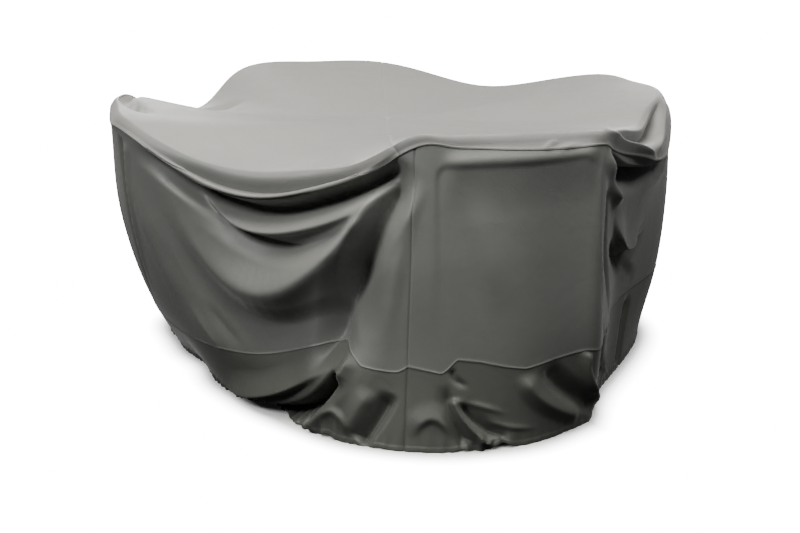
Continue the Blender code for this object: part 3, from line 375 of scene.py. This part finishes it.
def front_sink(azimuths, levels):
    """Depth of the wall's sunk front, which has round upper corners."""
    across = np.radians(np.abs(azimuths - FRONT_AZIMUTH))[:, None] + 0.0 * levels[None, :]
    top_level = FRONT_TOP_LEVEL + FRONT_TOP_SLOPE * (azimuths - FRONT_AZIMUTH)
    down = (levels[None, :] - top_level[:, None]) * LEVEL_HEIGHT
    side = np.maximum(across - FRONT_HALF_WIDTH + FRONT_CORNER, 0.0)
    top = np.maximum(FRONT_CORNER - down, 0.0)
    inside = FRONT_CORNER - np.hypot(side, top)
    edge = FRONT_EDGE + FRONT_EDGE_GROWTH * np.maximum(down, 0.0)
    lower_end = smooth_step((FRONT_END_LEVEL - levels) / FRONT_END_REACH)[None, :]
    right_fade = 1.0 - FRONT_FADE * smooth_step((azimuths - FRONT_FADE_FROM) / FRONT_FADE_REACH)[:, None]
    return FRONT_DEPTH * smooth_step(inside / edge) * lower_end * right_fade


FOLD_LINES = [fold_line(fold) for fold in FOLDS]


def draped_cover(azimuths, levels):
    """The cloth's surface with its folds: points[azimuth, level]."""
    plain = plain_cover(azimuths, levels)
    normals = outward(plain_cover, azimuths, levels)
    flat_points = plain.reshape(-1, 3)
    flat_normals = normals.reshape(-1, 3)
    moved = flat_points.copy()
    for fold, (line, line_normals) in zip(FOLDS, FOLD_LINES):
        add_fold(fold, line, line_normals, flat_points, flat_normals, moved)
    moved = moved.reshape(plain.shape) - front_sink(azimuths, levels)[..., None] * normals
    moved[:, levels >= HEM, 2] = 0.0
    moved[..., 2] = np.maximum(moved[..., 2], 0.0)
    return moved - MIDDLE


def grid_normals(points):
    """Unit normals of a grid of points[azimuth, level], read from the grid itself."""
    return unit(np.cross(np.gradient(points, axis=1), np.gradient(points, axis=0)))


FOLDS_FROM, FOLDS_TO = -130.0, 94.0      # azimuths between which the columns lie closer together
SEAM_COLUMNS = np.array([0.0, 0.06, 0.12, 0.2, 0.3, 0.45])     # degrees from a seam
SEAM_SIDE = 0.6                          # degrees beside a seam that have only those columns


def half_round(first, front_step, back_step):
    """Azimuths of one half's columns, close together at both seams and finer where folds are."""
    last = first + HALF_TURN
    columns = [first]
    while columns[-1] < last:
        turned = math.remainder(columns[-1], 360.0)
        columns.append(columns[-1] + (front_step if FOLDS_FROM < turned < FOLDS_TO else back_step))
    inner = [a for a in columns if first + SEAM_SIDE < a < last - SEAM_SIDE]
    return np.concatenate([first + SEAM_COLUMNS, inner, last - SEAM_COLUMNS[::-1]])


def cloth_panel(name, points, thread_map, closed_middle=False):
    """One cut piece as a single sheet with its thread directions as a UV map, given its thickness inwards.
    With closed_middle, the first row's points become one."""
    columns, rows = points.shape[:2]
    index = np.arange(columns * rows).reshape(columns, rows)
    faces = np.stack([index[:-1, :-1], index[:-1, 1:], index[1:, 1:], index[1:, :-1]], -1)
    faces = faces.reshape(-1, 4).tolist()
    if closed_middle:
        # The innermost faces become triangles that meet in one point.
        faces = [[v for v in face if v % rows or v == face[0]] if face[0] % rows == 0 else face for face in faces]
        faces = [[0 if v % rows == 0 else v for v in face] for face in faces]
    data = bpy.data.meshes.new(name)
    data.from_pydata(points.reshape(-1, 3).tolist(), [], faces)
    uv = data.uv_layers.new(name="thread_map")
    corners = np.empty(len(data.loops), int)
    data.loops.foreach_get("vertex_index", corners)
    uv.data.foreach_set("uv", thread_map.reshape(-1, 2)[corners].astype(float).ravel())
    data.shade_smooth()
    panel = bpy.data.objects.new(name, data)
    bpy.context.scene.collection.objects.link(panel)
    thick = panel.modifiers.new("thickness", "SOLIDIFY")
    thick.thickness = CLOTH_THICKNESS
    thick.offset = -1.0
    return panel


def add_node(tree, kind, settings=None, links=None):
    """Adds a node to a tree. settings are attributes or socket values, and links feed its sockets."""
    node = tree.nodes.new(kind)
    for key, value in (settings or {}).items():
        if isinstance(key, str) and hasattr(node, key):
            setattr(node, key, value)
        else:
            node.inputs[key].default_value = value
    for key, source in (links or {}).items():
        tree.links.new(source, node.inputs[key])
    return node


FOOT_SHADE_LOW, FOOT_SHADE_HIGH = 0.12, 0.58         # heights between which a painted shade darkens the cloth towards the foot
WEAVE_SCALE = 130.0                      # one thread in 2.4 mm
GLOSS_RANGE = 0.05                       # how much the creases change the roughness


def coated_cloth(name, hex_colour, hex_worn, roughness, shaded_foot_tone=1.0):
    """Woven polyester with a polyurethane coat: a satin skin that shows the weave faintly and shines at a
    glancing angle. Fine creases from folding change its gloss, and a little dust its tone. Towards the foot a
    painted shade darkens it, down to the share of its tone that its last argument gives."""
    material = bpy.data.materials.new(name)
    material.use_nodes = True
    tree = material.node_tree
    shader = tree.nodes["Principled BSDF"]
    place = add_node(tree, "ShaderNodeTexCoord")
    threads = add_node(tree, "ShaderNodeUVMap", {"uv_map": "thread_map"})
    # Threads lie 0.6 mm apart, too fine to show from the camera: drawn 2.4 mm apart, so a close look shows them.
    warp, weft = (add_node(tree, "ShaderNodeTexWave", {"bands_direction": way, "Scale": WEAVE_SCALE,
                           "Distortion": 0.6, "Detail": 1.0}, {"Vector": threads.outputs["UV"]})
                  for way in ("X", "Y"))
    weave = add_node(tree, "ShaderNodeMath", {"operation": "MULTIPLY"},
                     {0: warp.outputs["Fac"], 1: weft.outputs["Fac"]})
    creases = add_node(tree, "ShaderNodeTexNoise", {"Scale": 14.0, "Detail": 5.0, "Roughness": 0.55,
                       "Distortion": 0.8}, {"Vector": place.outputs["Object"]})
    dust = add_node(tree, "ShaderNodeTexNoise", {"Scale": 3.2, "Detail": 6.0, "Roughness": 0.6},
                    {"Vector": place.outputs["Object"]})
    tone = add_node(tree, "ShaderNodeMix", {"data_type": "RGBA", 6: linear(hex_colour), 7: linear(hex_worn)},
                    {0: dust.outputs["Fac"]})
    height = add_node(tree, "ShaderNodeSeparateXYZ", {}, {"Vector": place.outputs["Object"]})
    # A painted shade: the colour darkens with height towards the foot, between those two heights.
    painted_foot_shade = add_node(tree, "ShaderNodeMapRange", {"From Min": FOOT_SHADE_LOW, "From Max": FOOT_SHADE_HIGH,
                         "To Min": shaded_foot_tone}, {"Value": height.outputs["Z"]})
    colour = add_node(tree, "ShaderNodeVectorMath", {"operation": "SCALE"},
                      {"Vector": tone.outputs[2], "Scale": painted_foot_shade.outputs["Result"]})
    gloss = add_node(tree, "ShaderNodeMapRange", {"From Min": 0.3, "From Max": 0.7,
                     "To Min": roughness - GLOSS_RANGE, "To Max": roughness + GLOSS_RANGE},
                     {"Value": creases.outputs["Fac"]})
    crumple = add_node(tree, "ShaderNodeBump", {"Strength": 0.3, "Distance": 0.004},
                       {"Height": creases.outputs["Fac"]})
    grain = add_node(tree, "ShaderNodeBump", {"Strength": 0.25, "Distance": 0.0003},
                     {"Height": weave.outputs["Value"], "Normal": crumple.outputs["Normal"]})
    tree.links.new(colour.outputs["Vector"], shader.inputs["Base Color"])
    tree.links.new(gloss.outputs["Result"], shader.inputs["Roughness"])
    tree.links.new(grain.outputs["Normal"], shader.inputs["Normal"])
    shader.inputs["IOR"].default_value = 1.5
    shader.inputs["Sheen Weight"].default_value = 0.25
    shader.inputs["Sheen Roughness"].default_value = 0.4
    return material


def finish_panel(panel, node, material):
    """Paints a cut piece, hangs it on the root body and hides the solid that it stands for."""
    panel.data.materials.append(material)
    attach(panel, "root")
    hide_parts(node)


def read_round(table, azimuths):
    """Value at each azimuth of a table of (azimuth, value) rows from -180 to 180."""
    rows = np.array(table)
    return np.interp(np.mod(azimuths + 180.0, 360.0) - 180.0, rows[:, 0], rows[:, 1])


def seam_pinch(azimuths, points, first, depth, width):
    """Depth of the groove along the two seams where one half meets the other. None is at the very middle."""
    radius = np.linalg.norm((points + MIDDLE)[..., :2], axis=2)
    groove = np.zeros_like(radius)
    for seam in (first, first + HALF_TURN):
        from_seam = np.radians(np.abs(azimuths - seam))[:, None] * radius
        groove += depth * np.exp(-(from_seam / width) ** 2)
    return groove * smooth_step(radius / PINCH_START)


PINCH_DEPTH, PINCH_WIDTH = 0.0012, 0.005
PINCH_START = 0.05                       # radius at which a groove has its full depth
# How far the rim's seam stands proud. It curls out most where the cloth hangs in a bay.
RIM_LAP, RIM_LIP_WIDTH = 0.0014, 0.0055
RIM_LAP_FROM, RIM_LAP_RISE = 2.96, 0.05  # the level where the lap starts, and the levels over which it rises
RIM_LIPS = [(-180, 0.002), (-70, 0.001), (-58, 0.003), (-48, 0.007), (-10, 0.007), (2, 0.003), (8, 0.0006),
            (60, 0.0006), (68, 0.002), (180, 0.002)]

# Rows of the grid, close together where the cloth rolls over and at the seam, and a little past the seam.
top_levels = np.concatenate([np.linspace(0.0, 1.9, 42), np.linspace(1.93, 2.88, 34),
                             np.linspace(2.895, 3.0, 12), [3.003, 3.007, 3.012, 3.016]])
top_cloth = coated_cloth("coated_polyester_top", "#6B6C69", "#737370", 0.48)
for side in ("left", "right"):
    first = TOP_SEAM_AZIMUTH if side == "right" else TOP_SEAM_AZIMUTH - HALF_TURN
    azimuths = half_round(first, 0.55, 1.2)
    points = draped_cover(azimuths, top_levels)
    normals = grid_normals(points)
    normals[:, 0] = (0.0, 0.0, 1.0)
    rim = points[:, [np.argmin(np.abs(top_levels - RIM_SEAM))]]
    from_rim = np.linalg.norm(points - rim, axis=2)
    proud = CLOTH_THICKNESS / 2 + RIM_LAP * smooth_step((top_levels - RIM_LAP_FROM) / RIM_LAP_RISE)[None, :]
    proud = proud + read_round(RIM_LIPS, azimuths)[:, None] * np.exp(-(from_rim / RIM_LIP_WIDTH) ** 2)
    proud = proud - seam_pinch(azimuths, points, first, PINCH_DEPTH, PINCH_WIDTH)
    outer = points + proud[..., None] * normals
    panel = cloth_panel("cover_top_" + side, outer, outer[..., :2], closed_middle=True)
    finish_panel(panel, "top_panel_" + side, top_cloth)

# ---- Wall panels -------------------------------------------------------------------------------------
# Two tall strips of the same cloth, sewn to the top all round and to each other at the front and the back.
# They hang from the raised places: the cloth between is swagged, and the front lies flat and a little sunk.
BAND_LAP, BAND_LIP, BAND_LIP_WIDTH = 0.0009, 0.0008, 0.0014
BAND_LAP_FROM, BAND_LAP_RISE = 4.98, 0.02
WALL_PINCH_DEPTH, WALL_PINCH_WIDTH = 0.0028, 0.0034
KINK_REACH = 0.5                         # levels above and below the band seam that its kinks pull along
# The band seam doesn't run level: it dips and rises where the band is gathered. Shares of a level, downwards.
SEAM_KINKS = [(-180, 0), (-40, 0), (-14, -0.01), (-7.6, -0.09), (-6, 0.0), (-3.6, 0.08), (0, 0.02), (3, 0.01),
              (4.6, -0.04), (6, -0.02), (10, 0.05), (12.4, -0.09), (16, -0.06), (23, 0.05), (28, 0.0),
              (34, -0.03), (40, 0.04), (45, 0), (180, 0)]


def rows_between(points, levels, wanted):
    """Points at wanted[azimuth, row] levels, read from points[azimuth, level]."""
    i = np.clip(np.searchsorted(levels, wanted) - 1, 0, len(levels) - 2)
    f = ((wanted - levels[i]) / (levels[i + 1] - levels[i]))[..., None]
    column = np.arange(len(points))[:, None]
    return (1.0 - f) * points[column, i] + f * points[column, i + 1]


def strip_threads(azimuths, levels, level_height):
    """Thread directions of a strip: round the cover, as at 1 m from its middle, and down the cloth."""
    along, down = np.meshgrid(np.radians(azimuths), (levels - levels[0]) * level_height, indexing="ij")
    return np.stack([along, -down], 2)


wall_levels = np.concatenate([np.linspace(3.0, 4.96, 96), [4.975, 4.987, 4.994, 5.0], [5.004, 5.008, 5.014]])
read_levels = np.linspace(3.0, 5.14, 112)
# The wall's colour takes a painted shade towards the foot.
wall_cloth = coated_cloth("coated_polyester_wall", "#6B6D69", "#737470", 0.50, shaded_foot_tone=0.72)
for side in ("left", "right"):
    first = WALL_SEAM_AZIMUTH if side == "right" else WALL_SEAM_AZIMUTH - HALF_TURN
    azimuths = half_round(first, 0.4, 1.2)
    pull = smooth_step((wall_levels - (BAND_SEAM - KINK_REACH)) / KINK_REACH)
    kinks = read_round(SEAM_KINKS, azimuths)[:, None] * pull[None, :]
    points = rows_between(draped_cover(azimuths, read_levels), read_levels, wall_levels[None, :] + kinks)
    normals = grid_normals(points)
    band = points[:, [np.argmin(np.abs(wall_levels - BAND_SEAM))]]
    from_band = np.linalg.norm(points - band, axis=2)
    lap = BAND_LAP * smooth_step((wall_levels - BAND_LAP_FROM) / BAND_LAP_RISE)
    proud = CLOTH_THICKNESS / 2 + lap[None, :]
    proud = proud + BAND_LIP * np.exp(-(from_band / BAND_LIP_WIDTH) ** 2)
    proud = proud - seam_pinch(azimuths, points, first, WALL_PINCH_DEPTH, WALL_PINCH_WIDTH)
    outer = points + proud[..., None] * normals
    panel = cloth_panel("cover_wall_" + side, outer, strip_threads(azimuths, wall_levels, LEVEL_HEIGHT))
    finish_panel(panel, "wall_panel_" + side, wall_cloth)

# ---- Hem bands ---------------------------------------------------------------------------------------
# Two low strips that widen the cover at its foot. The hem is turned in over an elastic and gathers in small
# ruffles, and it stands on the floor.
RUFFLE_SIZE = 0.0060
RUFFLES_ROUND = 190
RUFFLE_DRIFT = [(2.6, 11, 0.4), (1.7, 23, 1.1)]     # slow waves that space the ruffles unevenly
HEM_LIFT = 0.012
CASING_SWELL = 0.0014
BAND_HEIGHT = 0.26
# The level where each starts, and the levels over which it grows to its full size.
RUFFLE_FROM, RUFFLE_RISE = 5.72, 0.28
LIFT_FROM, LIFT_RISE = 5.8, 0.2
CASING_FROM, CASING_RISE = 5.93, 0.02
# Share of the full ruffle: the elastic gathers the hem unevenly.
RUFFLE_STRENGTH = [(-180, 0.7), (-60, 0.5), (-34, 0.6), (-28, 1.0), (-12, 1.0), (-7, 0.3), (8, 0.15), (12, 0.4),
                   (14.5, 1.0), (19, 1.0), (22, 0.15), (34, 0.15), (75, 0.15), (100, 0.5), (180, 0.7)]

band_levels = np.concatenate([np.linspace(5.0, 5.8, 38), np.linspace(5.815, 6.0, 16)])
read_levels = np.linspace(4.84, 6.0, 84)
# The band's colour is darker and greener than the walls' cloth as a painted shade, and it also takes the painted
# shade towards the foot.
shaded_band_cloth = coated_cloth("coated_polyester_band_painted_shade", "#53564F", "#5C5E58", 0.54, shaded_foot_tone=0.72)
for side in ("left", "right"):
    first = WALL_SEAM_AZIMUTH if side == "right" else WALL_SEAM_AZIMUTH - HALF_TURN
    azimuths = half_round(first, 0.3, 0.5)
    pull = smooth_step((BAND_SEAM + KINK_REACH - band_levels) / KINK_REACH)
    kinks = read_round(SEAM_KINKS, azimuths)[:, None] * pull[None, :]
    points = rows_between(draped_cover(azimuths, read_levels), read_levels, band_levels[None, :] + kinks)
    normals = grid_normals(points)
    angle = np.radians(azimuths)
    wave = angle * RUFFLES_ROUND
    for size, turns, start in RUFFLE_DRIFT:
        wave = wave + size * np.sin(turns * angle + start)
    # A weaker second wave makes the ruffles unequal, and slower ones lift the hem off the floor here and there.
    strength = read_round(RUFFLE_STRENGTH, azimuths)
    ruffle = RUFFLE_SIZE * strength * (np.sin(wave) + 0.35 * np.sin(1.7 * wave + 0.8))
    lift = HEM_LIFT * strength * np.maximum(np.sin(wave / 3.0) + 0.4 * np.sin(wave / 7.3), 0.0)
    proud = CLOTH_THICKNESS / 2 + ruffle[:, None] * smooth_step((band_levels - RUFFLE_FROM) / RUFFLE_RISE)[None, :]
    proud = proud + CASING_SWELL * smooth_step((band_levels - CASING_FROM) / CASING_RISE)[None, :]
    proud = proud - seam_pinch(azimuths, points, first, WALL_PINCH_DEPTH, WALL_PINCH_WIDTH)
    outer = points + proud[..., None] * normals
    outer[..., 2] += lift[:, None] * smooth_step((band_levels - LIFT_FROM) / LIFT_RISE)[None, :]
    outer[..., 2] = np.maximum(outer[..., 2], 0.0)
    panel = cloth_panel("cover_band_" + side, outer, strip_threads(azimuths, band_levels, BAND_HEIGHT))
    finish_panel(panel, "hem_band_" + side, shaded_band_cloth)

# ---- Floor -------------------------------------------------------------------------------------------
# A plain sweep of white acrylic under the cover. It glows with painted light everywhere but close to the hem,
# so that it stays pure white up to a narrow soft shadow round the cover, partly cast by the lamps and partly
# painted, where the glow fades out.
FLOOR_REACH = 40.0
FLOOR_STEP = 3.0                         # degrees between its points
JUST_ABOVE_HEM = 5.999
# Rings of the floor: metres out from the hem, and the share of the glow, which fades out towards the hem as a
# painted shadow.
FLOOR_RINGS = [(-0.60, 0.0), (-0.02, 0.0), (0.012, 0.012), (0.026, 0.06), (0.045, 0.2), (0.07, 0.5), (0.11, 1.0),
               (FLOOR_REACH, 1.0)]
FLOOR_GLOW = 20.0                        # strength of that glow
azimuths = np.arange(0.0, 360.0, FLOOR_STEP)
hem = np.linalg.norm(plain_cover(azimuths, np.array([JUST_ABOVE_HEM]))[:, 0, :2], axis=1)
rings = np.array(FLOOR_RINGS)
radius = hem[:, None] + rings[None, :, 0]
angle = np.radians(azimuths)[:, None]
points = np.stack([radius * np.sin(angle), -radius * np.cos(angle), 0.0 * radius], 2) - MIDDLE
columns, rows = radius.shape
index = np.arange(columns * rows).reshape(columns, rows)
turned = np.roll(index, -1, axis=0)
faces = np.stack([index[:, :-1], index[:, 1:], turned[:, 1:], turned[:, :-1]], -1).reshape(-1, 4).tolist()
faces.append(index[:, 0].tolist())
floor_mesh = bpy.data.meshes.new("floor")
floor_mesh.from_pydata(points.reshape(-1, 3).tolist(), [], faces)
glow = floor_mesh.attributes.new("glow", "FLOAT", "POINT")
glow.data.foreach_set("value", np.tile(rings[:, 1], columns))
floor = bpy.data.objects.new("floor", floor_mesh)
bpy.context.scene.collection.objects.link(floor)
# Diffuse and glossy rays pass the floor by, so its glow lights nothing but itself.
floor.visible_diffuse = False
floor.visible_glossy = False
floor_paint = bpy.data.materials.new("white_acrylic_floor")
floor_paint.use_nodes = True
floor_tree = floor_paint.node_tree
floor_shader = floor_tree.nodes["Principled BSDF"]
floor_shader.inputs["Base Color"].default_value = linear("#F7F7F5")
floor_shader.inputs["Roughness"].default_value = 0.9
floor_shader.inputs["Specular IOR Level"].default_value = 0.2
floor_shader.inputs["Emission Color"].default_value = linear("#FFFFFF")
floor_share = add_node(floor_tree, "ShaderNodeAttribute", {"attribute_name": "glow"})
floor_light = add_node(floor_tree, "ShaderNodeMath", {"operation": "MULTIPLY", 1: FLOOR_GLOW},
                       {0: floor_share.outputs["Fac"]})
floor_tree.links.new(floor_light.outputs["Value"], floor_shader.inputs["Emission Strength"])
floor_mesh.materials.append(floor_paint)
